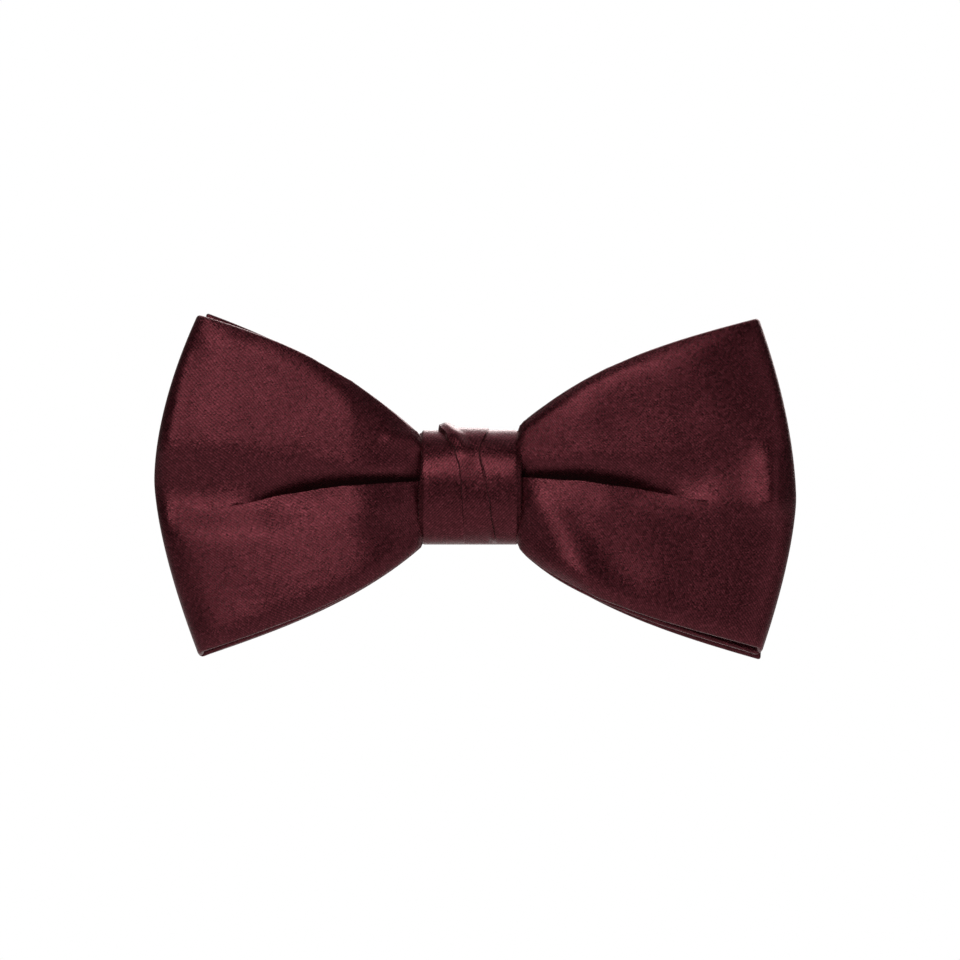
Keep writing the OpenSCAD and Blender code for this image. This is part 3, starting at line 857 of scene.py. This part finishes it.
def knot_face(sizes):
    """The band's outer face and its directions. It starts under its own end at the back, passes
    below, up the front, over the top and down the back over its start."""
    turn = np.linspace(*KNOT_TURNS, KNOT_ROWS)
    y, z, turn = even_rows(*knot_outline(turn, 0), turn, KNOT_ROWS)
    out = path_outward(y, z)
    lap = turned(turn, LAP_BEGINS) * (sizes.band_thickness / MM + LAP_GAP)
    y, z = y + out[:, 0] * lap, z + out[:, 1] * lap

    front = turned(turn, FRONT_BEGINS) * (1 - turned(turn, FRONT_ENDS))
    half = sizes.knot_width / 2 / MM
    edge_a, edge_b = (eased(z, stops) for stops in PLEAT_EDGES)
    step = sizes.pleat_step / MM
    rise_a, rise_b, rise_ear = (step * eased(z, stops) for stops in PLEAT_RISES)
    wall = PLEAT_WALL / 2
    # Each stretch across the knot: where it ends, its height there and its columns.
    stretches = (
        (edge_a - wall, PLEAT_SEAT, 26),
        (edge_a + wall, rise_a + rise_ear * 0.6, 8),
        (edge_a + EAR_RISE, rise_a + rise_ear, 8),
        (edge_a + EAR_END, rise_a, 12),
        (edge_b - wall, rise_b, 14),
        (edge_b + wall, PLEAT_SEAT, 8),
        (half, 0, 22),
    )
    columns, raised = [], []
    place, height = -half, 0
    for number, (next_place, next_height, count) in enumerate(stretches, 1):
        for f in np.linspace(0, 1, count, endpoint=number == len(stretches)):
            columns.append(mix(place, next_place, f) + 0 * z)
            raised.append(mix(height, next_height, smooth(f)) + 0 * z)
        place, height = next_place, next_height
    x = np.stack(columns, axis=1)
    h = np.stack(raised, axis=1) * front[:, None]

    # The left edge draws in a little above the middle, and both sides roll towards the neck.
    pulled = np.exp(-((z - 5) / 4) ** 2) * front
    x = x + (0.6 * pulled)[:, None] * smooth((-x - 3) / 6)
    roll = -0.5 * smooth((np.abs(x) / half - 0.93) / 0.07) ** 2
    crown = 0.2 * (1 - (x / half) ** 2) * front[:, None]
    h = h + roll + crown
    face = np.stack([x, y[:, None] + 0 * x, z[:, None] + 0 * x], axis=-1)
    face[..., 1:] += out[:, None] * h[..., None]
    waviness = undulation(face, 7, 0.22, 8) * front[:, None]
    face[..., 1:] += out[:, None] * waviness[..., None]
    return face[:, ::-1], row_directions(out)


def row_directions(out):
    """Side-view directions as one direction for each row of a grid."""
    return np.pad(out, ((0, 0), (1, 0)))[:, None]


def build_knot(sizes):
    face, out = knot_face(sizes)
    return strip_piece("knot_band_satin", face, out, sizes.band_thickness / MM,
                       face.shape[1] // 2)


PAD_TURNS = (-118, -242)
PAD_INSET = 1.15
PAD_MARGIN = 2.4


def build_padding(sizes):
    """The strip of wadding under the knot's front."""
    y, z = knot_outline(np.linspace(*PAD_TURNS, 40), PAD_INSET)
    half = sizes.knot_width / 2 / MM - PAD_MARGIN
    x = np.linspace(half, -half, 30)
    face = np.stack([x[None] + 0 * y[:, None], y[:, None] + 0 * x, z[:, None] + 0 * x], axis=-1)
    face[..., 1] += undulation(face, 5, 0.08, 11)
    return strip_piece("knot_wadding", face, row_directions(path_outward(y, z)),
                       sizes.pad_thickness / MM)


# ---- Stitches ----

def node_adder(tree):
    """A function that adds a node to the tree: its settings first, then its sockets."""
    def add(kind, settings=None, inputs=None):
        node = tree.nodes.new(kind)
        for key, value in (settings or {}).items():
            setattr(node, key, value)
        for key, value in (inputs or {}).items():
            if isinstance(value, bpy.types.NodeSocket):
                tree.links.new(value, node.inputs[key])
            else:
                node.inputs[key].default_value = value
        return node.outputs
    return add


def new_tree(name, sizes, whole=()):
    """An empty tree for a curve's modifier, with named inputs. Returns the tree, its inputs and
    a function that adds a node."""
    tree = bpy.data.node_groups.new(name, "GeometryNodeTree")
    tree.is_modifier = True
    face = tree.interface
    face.new_socket("Geometry", in_out="INPUT", socket_type="NodeSocketGeometry")
    for kind, values in (("NodeSocketFloat", sizes), ("NodeSocketInt", whole)):
        for key, value in values:
            face.new_socket(key, in_out="INPUT", socket_type=kind).default_value = value
    face.new_socket("Material", in_out="INPUT", socket_type="NodeSocketMaterial")
    face.new_socket("Geometry", in_out="OUTPUT", socket_type="NodeSocketGeometry")
    return tree, tree.nodes.new("NodeGroupInput").outputs, node_adder(tree)


def times(add, value, factor):
    return add("ShaderNodeMath", {"operation": "MULTIPLY"}, {0: value, 1: factor})[0]


def along_axis(add, axis, value):
    return add("ShaderNodeCombineXYZ", None, {axis: value})[0]


def tube(add, given, curve, sides):
    """Round thread along a curve, closed at its ends."""
    ring = add("GeometryNodeCurvePrimitiveCircle", None,
               {"Resolution": sides, "Radius": times(add, given["Thickness"], 0.5)})[0]
    return add("GeometryNodeCurveToMesh", None,
               {"Curve": curve, "Profile Curve": ring, "Fill Caps": True})[0]


def close_tree(tree, add, given, geometry):
    """Ends a tree with real geometry in its material."""
    real = add("GeometryNodeRealizeInstances", None, {"Geometry": geometry})[0]
    made = add("GeometryNodeSetMaterial", None,
               {"Geometry": real, "Material": given["Material"]})[0]
    tree.links.new(made, tree.nodes.new("NodeGroupOutput").inputs[0])
    return tree


def stitch_tree():
    """Geometry nodes that lay stitches along a curve, one every pitch, each a short plump thread
    turned a little at random."""
    tree, given, add = new_tree("Stitch Row", (("Pitch", 0.003), ("Length", 0.0015),
                                               ("Thickness", 0.0003), ("Tilt", 0.1)),
                                (("Seed", 3),))
    spaced = add("GeometryNodeResampleCurve", {"mode": "LENGTH"},
                 {"Curve": given["Geometry"], "Length": given["Pitch"]})[0]
    half = times(add, given["Length"], 0.5)
    arc = add("GeometryNodeCurveQuadraticBezier", None,
              {"Resolution": 6, "Start": along_axis(add, 0, times(add, half, -1.0)),
               "Middle": along_axis(add, 2, times(add, given["Thickness"], 0.55)),
               "End": along_axis(add, 0, half)})[0]
    thread = tube(add, given, arc, 8)
    tangent = add("GeometryNodeInputTangent")[0]
    turned = add("FunctionNodeAlignRotationToVector", {"axis": "X"}, {"Vector": tangent})[0]
    upright = add("GeometryNodeInputNormal")[0]
    turned = add("FunctionNodeAlignRotationToVector", {"axis": "Z", "pivot_axis": "X"},
                 {"Rotation": turned, "Vector": upright})[0]
    placed = add("GeometryNodeInstanceOnPoints", None,
                 {"Points": spaced, "Instance": thread, "Rotation": turned})[0]
    low = along_axis(add, 2, times(add, given["Tilt"], -1.0))
    high = along_axis(add, 2, given["Tilt"])
    chance = add("FunctionNodeRandomValue", {"data_type": "FLOAT_VECTOR"},
                 {0: low, 1: high, "Seed": given["Seed"]})[0]
    loose = add("GeometryNodeRotateInstances", None, {"Instances": placed, "Rotation": chance})[0]
    return close_tree(tree, add, given, loose)


def thread_tree():
    """Geometry nodes that turn paths into round thread."""
    tree, given, add = new_tree("Round Thread", (("Thickness", 0.0005),))
    return close_tree(tree, add, given, tube(add, given, given["Geometry"], 10))


def nodes_on_paths(name, runs, tree, values, cyclic=False):
    """A plain mesh of what the tree makes along each run, a list of points in millimetres."""
    curve = bpy.data.curves.new(name, "CURVE")
    curve.dimensions = "3D"
    for run in runs:
        spline = curve.splines.new("POLY")
        spline.points.add(len(run) - 1)
        spline.use_cyclic_u = cyclic
        for point, place in zip(spline.points, run):
            point.co = (*(np.array(place) * MM), 1)
    carrier = new_piece(name + "_path", curve)
    modifier = carrier.modifiers.new("Thread", "NODES")
    modifier.node_group = tree
    for item in tree.interface.items_tree:
        if item.in_out == "INPUT" and item.name in values:
            modifier[item.identifier] = values[item.name]
    bpy.context.view_layer.update()
    evaluated = carrier.evaluated_get(bpy.context.evaluated_depsgraph_get())
    mesh = bpy.data.meshes.new_from_object(evaluated)
    mesh.name = name
    bpy.data.objects.remove(carrier)
    if not mesh.polygons:
        raise RuntimeError(f"{name} has no thread")
    orient(mesh)
    mesh.polygons.foreach_set("use_smooth", np.ones(len(mesh.polygons), bool))
    return new_piece(name, mesh)


def stitch_row(name, runs, material, pitch, length, thickness, tilt=0.12, seed=3):
    tree = bpy.data.node_groups.get("Stitch Row") or stitch_tree()
    return nodes_on_paths(name, runs, tree,
                          {"Pitch": pitch * MM, "Length": length * MM, "Tilt": tilt,
                           "Thickness": thickness * MM, "Seed": seed, "Material": material})


def gather_turns(material, thickness):
    """Three closed turns of thread drawn tight round the gathered middle."""
    turn = np.linspace(0, 360, 72, endpoint=False)
    a = np.radians(turn)
    y, z = knot_outline(turn, NECK_INSET - thickness * 0.6)
    runs = [np.stack([x + 0.15 * np.sin(a * 2 + x), y, z], axis=1) for x in (-0.8, 0, 0.8)]
    return nodes_on_paths("gather_turns", runs, thread_tree(),
                          {"Thickness": thickness * MM, "Material": material}, cyclic=True)


# ---- What a user may change ----

def size(name, description, default, **more):
    return bpy.props.FloatProperty(name=name, description=description, default=default * MM,
                                   unit="LENGTH", min=0, precision=5, **more)


def colour(name, description, default):
    return bpy.props.FloatVectorProperty(name=name, description=description, default=default,
                                         subtype="COLOR", size=3, min=0, max=1)


def amount(name, description, default):
    return bpy.props.FloatProperty(name=name, description=description, default=default,
                                   subtype="FACTOR", min=0, max=1)


def watts(name, description, default):
    return bpy.props.FloatProperty(name=name, description=description, default=default, min=0,
                                   unit="POWER")


class BowTieSizes(bpy.types.PropertyGroup):
    """Sizes of the cloth pieces."""
    strip_thickness: size("Strip thickness", "Two layers of satin and their interlining", 1.2)
    canvas_thickness: size("Interlining thickness", "Canvas inside the strips", 0.4)
    front_swell: size("Front swell", "How far the loop stands in front of its folds", 6.9)
    rear_swell: size("Rear swell", "How far the loop stands behind its folds", 4.4)
    unevenness: size("Unevenness", "Height of the cloth's soft waves", 0.45)
    knot_width: size("Knot width", "Width of the band round the middle",
                     float(BAND_HIGH[0] - BAND_LOW[0]))
    band_thickness: size("Band thickness", "Thickness of the folded band", 0.9)
    pleat_step: size("Pleat step", "How far the knot's middle pleat stands up", 0.55)
    pad_thickness: size("Wadding thickness", "Soft layer under the knot's front", 0.8)
    thread: size("Thread", "Diameter of the sewing thread", 0.3)


class BowTieLook(bpy.types.PropertyGroup):
    """Colours and finishes."""
    satin: colour("Satin", "Main colour of the satin", (0.105, 0.0155, 0.0235))
    # Painted shade: the dark tone that the colour takes between the ribs, which the threads' random
    # tone also reaches.
    satin_rib_shade: colour("Satin, dark", "Between the ribs", (0.026, 0.0055, 0.0065))
    # Painted highlight: the glint tone of single threads and rib crests.
    satin_painted_glint: colour("Satin, glint", "Threads that catch the light", (0.30, 0.07, 0.095))
    satin_metal: amount("Satin tint of gloss", "How far the gloss takes the cloth's colour", 0.82)
    satin_roughness: amount("Satin roughness", "Spread of the gloss", 0.30)
    sheen: amount("Sheen", "Soft light at the cloth's turning edges", 0.3)
    # Painted shade: the tail gets a darker copy of the loop's satin.
    tail_painted_shade: amount("Tail shade", "Brightness of the tail against the loop", 0.85)
    thread_pitch: size("Thread pitch", "Distance between the threads along the strip", 0.1)
    thread_relief: size("Thread relief", "Height of the threads, which spreads the gloss", 0.034)
    rib_pitch: size("Rib pitch", "Distance between the diagonal ribs", 0.43)
    float_length: bpy.props.FloatProperty(name="Float length", default=0.6, min=0.5,
                                          description="Length of one thread in rib pitches")


class BowTieStage(bpy.types.PropertyGroup):
    """Camera and lights."""
    distance: size("Camera distance", "From the knot to the camera", 2400)
    view_width: size("View width", "Width of what the camera sees", 179.8)
    key_power: watts("Key light", "Large soft light above the front", 13.8)
    fill_power: watts("Fill light", "Low soft light from the front", 2)
    back_power: watts("Back light", "Large soft light behind, above", 16)
    top_power: watts("Top light", "Wide soft light overhead", 14)
    floor_drop: size("Floor drop", "How far the floor lies below the bow's middle", 500)


GROUPS = {"bow_tie_sizes": BowTieSizes, "bow_tie_look": BowTieLook, "bow_tie_stage": BowTieStage}
MADE = {}


def settings(name):
    return getattr(bpy.context.scene, name)


def finish(name, make, *args):
    """A material made once and shared."""
    if name not in MADE:
        MADE[name] = make(name, *args)
    return MADE[name]


def loop_satin_finish():
    return finish("Loop satin", satin_finish, settings("bow_tie_look"))


def tail_satin_finish():
    look = settings("bow_tie_look")
    # The loop's satin, darker by painted shade.
    return finish("Tail satin", satin_finish, look, look.tail_painted_shade)


def canvas_material():
    return finish("Interlining canvas", canvas_finish, (0.42, 0.38, 0.32), (0.22, 0.19, 0.15))


def thread_material():
    return finish("Burgundy thread", thread_finish, (0.16, 0.028, 0.036), (0.06, 0.012, 0.014))


# ---- Operators ----


def finish_cloth(piece, material, node):
    """Finishes a cloth that stands for a CAD node."""
    finish_piece(piece, material, node)


# Name, place, width, height and tint. The first three look at the bow; the last points down.
LIGHTS = (
    ("Key", (-0.45, -1.75, 0.86), 1.3, 0.7, (1, 0.97, 0.94)),
    ("Fill", (1.5, -1.3, 0.25), 0.8, 0.8, (1, 0.98, 0.97)),
    ("Back", (0.5, 1.7, 0.75), 1.4, 0.9, (1, 0.98, 0.96)),
    ("Top", (0, 1.5, 2.3), 3.0, 2.0, (1, 1, 1)),
)
FLOOR_HALF = 3.0
SENSOR = 36
VIEW_MIDDLE = (1.87, 1.12)


class BOWTIE_OT_stage(bpy.types.Operator):
    """Sets the camera, the floor and the soft lights"""
    bl_idname = "bowtie.stage"
    bl_label = "Stage"

    def execute(self, context):
        stage = settings("bow_tie_stage")
        scene = context.scene
        camera = new_piece("Camera", bpy.data.cameras.new("Camera"))
        camera.data.sensor_width = SENSOR
        camera.data.lens = SENSOR * stage.distance / stage.view_width
        camera.data.clip_end = 50
        across, up = VIEW_MIDDLE
        camera.location = (across * MM, LOOP_LOW[1] * 0.7 * MM - stage.distance, up * MM)
        camera.rotation_euler = (math.pi / 2, 0, 0)
        scene.camera = camera
        scene.view_settings.view_transform = "Standard"

        mesh = bpy.data.meshes.new("Floor")
        w, z = FLOOR_HALF, -stage.floor_drop
        mesh.from_pydata([(-w, -w, z), (w, -w, z), (w, w, z), (-w, w, z)], [], [(0, 1, 2, 3)])
        floor = new_piece("Floor", mesh)
        material, sh = new_material("Pale floor")
        sh.surface(Base_Color=(0.92, 0.92, 0.92), Roughness=0.9)
        mesh.materials.append(material)

        for name, place, width, height, tint in LIGHTS:
            data = bpy.data.lights.new(name, "AREA")
            data.shape = "RECTANGLE"
            data.size = width
            data.size_y = height
            data.energy = getattr(stage, f"{name.lower()}_power")
            data.color = tint
            light = new_piece(name, data)
            light.location = place
            if name != "Top":
                light.rotation_euler = (-Vector(place)).to_track_quat("-Z", "Y").to_euler()
        self.world(scene)
        return {"FINISHED"}

    @staticmethod
    def world(scene):
        """White to the camera; to the cloth, pale behind and below and dim in front."""
        world = bpy.data.worlds.new("Studio")
        scene.world = world
        sh = Shader(world)
        direction = sh.node("ShaderNodeTexCoord")[0]
        _, ahead, up = sh.node("ShaderNodeSeparateXYZ", None, [direction])
        rear = up.math("ABSOLUTE") * 1.5 + ahead * 0.8 - 1.0
        strength = 0.05 + rear.math("MAXIMUM", 0.0).math("MINIMUM", 1.0) * 0.6
        seen = sh.node("ShaderNodeLightPath")[0]
        power = seen + (1 - seen) * strength
        shown = sh.node("ShaderNodeBackground", None,
                        {"Color": (1, 1, 1, 1), "Strength": power})[0]
        sh.node("ShaderNodeOutputWorld", None, {"Surface": shown})


class BOWTIE_OT_loop(bpy.types.Operator):
    """Builds the folded loop with its two wings, and the canvas inside it"""
    bl_idname = "bowtie.loop"
    bl_label = "Loop"

    def execute(self, context):
        sizes = settings("bow_tie_sizes")
        loop, face = build_loop(sizes)
        finish_cloth(loop, loop_satin_finish(), "loop_satin")
        finish_cloth(build_loop_canvas(face, sizes), canvas_material(),
                     "loop_stiffener")
        return {"FINISHED"}


class BOWTIE_OT_tail(bpy.types.Operator):
    """Builds the flat tail behind the loop and the canvas inside it"""
    bl_idname = "bowtie.tail"
    bl_label = "Tail"

    def execute(self, context):
        sizes = settings("bow_tie_sizes")
        tail, face = build_tail(sizes)
        finish_cloth(tail, tail_satin_finish(), "tail_satin")
        finish_cloth(build_tail_canvas(face, sizes), canvas_material(),
                     "tail_stiffener")
        MADE["tail face"] = face
        return {"FINISHED"}


class BOWTIE_OT_knot(bpy.types.Operator):
    """Builds the pleated band round the middle and the wadding under its front"""
    bl_idname = "bowtie.knot"
    bl_label = "Knot"

    def execute(self, context):
        sizes = settings("bow_tie_sizes")
        finish_cloth(build_knot(sizes), loop_satin_finish(), "knot_band")
        finish_cloth(build_padding(sizes), canvas_material(), "knot_padding")
        return {"FINISHED"}


SEAM_Z = -4.05
SEAM_HALF = 7.2
GATHER_THREAD = 0.5


class BOWTIE_OT_stitches(bpy.types.Operator):
    """Sews the tail's hems and the end of the knot's band"""
    bl_idname = "bowtie.stitches"
    bl_label = "Stitches"

    def execute(self, context):
        thread = thread_material()
        thickness = settings("bow_tie_sizes").thread / MM
        back = settings("bow_tie_sizes").strip_thickness / MM
        for side, row in (("left", 5), ("right", -6)):
            line = MADE["tail face"][row, 5:-5] + (0, back + thickness * 0.35, 0)
            piece = stitch_row(f"tail_hem_stitches_{side}", [line[::2]], thread, 3.0, 1.8,
                               thickness, seed=4)
            finish_piece(piece, None, f"tail_stitches_{side}")
        finish_piece(gather_turns(thread, GATHER_THREAD), None, "gather_thread")
        line = [(x, -0.1, SEAM_Z) for x in np.linspace(-SEAM_HALF, SEAM_HALF, 12)]
        piece = stitch_row("knot_seam_stitches", [line], thread, 2.1, 1.1, thickness, tilt=0.5)
        finish_piece(piece, None, "knot_slip_stitches")
        return {"FINISHED"}


NODE_FINISHES = {
    "clip_plate": "nickel", "clip_lever_left": "nickel", "clip_lever_right": "nickel",
    "hinge_pin_left": "steel", "hinge_pin_right": "steel",
    "clip_tack_thread": "thread", "loop_join_stitches": "thread",
}
SPRING_LEGS = 0.3
MERGE_DISTANCE = 1e-6


def twisting_spring(side, material):
    """A copy of the CAD spring's mesh in the given material, standing in for the hidden CAD spring.
    Both legs lie within a share SPRING_LEGS of the coil's height."""
    node = f"torsion_spring_{side}"
    low, high = (corner[2] for corner in node_box(node))
    mesh = bpy.data.meshes.new(f"spring_coil_{side}")
    bm = bmesh.new()
    bm.from_mesh(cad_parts[node].data)
    bmesh.ops.remove_doubles(bm, verts=bm.verts, dist=MERGE_DISTANCE)
    bm.to_mesh(mesh)
    bm.free()
    mesh.materials.clear()
    mesh.materials.append(material)
    piece = new_piece(mesh.name, mesh)
    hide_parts(node)
    start, end = (mix(low, high, share) * MM for share in (SPRING_LEGS, 1 - SPRING_LEGS))
    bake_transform(piece)


class BOWTIE_OT_fittings(bpy.types.Operator):
    """Finishes the metal clip, its springs and the threads"""
    bl_idname = "bowtie.fittings"
    bl_label = "Clip and threads"

    def execute(self, context):
        made = {
            "nickel": finish("Nickel plate", metal_finish, (0.70, 0.68, 0.64),
                             (0.52, 0.50, 0.47), 0.28, 150.0),
            "steel": finish("Spring steel", metal_finish, (0.56, 0.57, 0.58),
                            (0.38, 0.38, 0.39), 0.34, 900.0),
            "thread": thread_material(),
        }
        for node, kind in NODE_FINISHES.items():
            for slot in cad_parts[node].material_slots:
                slot.material = made[kind]
        for side in ("left", "right"):
            twisting_spring(side, made["steel"])
        return {"FINISHED"}


class BOWTIE_PT_panel(bpy.types.Panel):
    """Lists the pieces in the order in which they are made"""
    bl_label = "Bow Tie"
    bl_idname = "BOWTIE_PT_panel"
    bl_space_type = "VIEW_3D"
    bl_region_type = "UI"
    bl_category = "Bow Tie"

    def draw(self, context):
        for group, kind in GROUPS.items():
            box = self.layout.box()
            for key in kind.__annotations__:
                box.prop(settings(group), key)
        for operator in OPERATORS:
            self.layout.operator(operator.bl_idname)


OPERATORS = (BOWTIE_OT_stage, BOWTIE_OT_loop, BOWTIE_OT_tail, BOWTIE_OT_knot,
             BOWTIE_OT_stitches, BOWTIE_OT_fittings)
CLASSES = (*GROUPS.values(), *OPERATORS, BOWTIE_PT_panel)


def register():
    for kind in CLASSES:
        bpy.utils.register_class(kind)
    for name, kind in GROUPS.items():
        setattr(bpy.types.Scene, name, bpy.props.PointerProperty(type=kind))


def unregister():
    for name in GROUPS:
        delattr(bpy.types.Scene, name)
    for kind in reversed(CLASSES):
        bpy.utils.unregister_class(kind)


def main():
    register()
    for operator in OPERATORS:
        group, name = operator.bl_idname.split(".")
        if getattr(getattr(bpy.ops, group), name)() != {"FINISHED"}:
            raise RuntimeError(f"{operator.bl_label} could not be made")


if __name__ == "__main__":
    main()
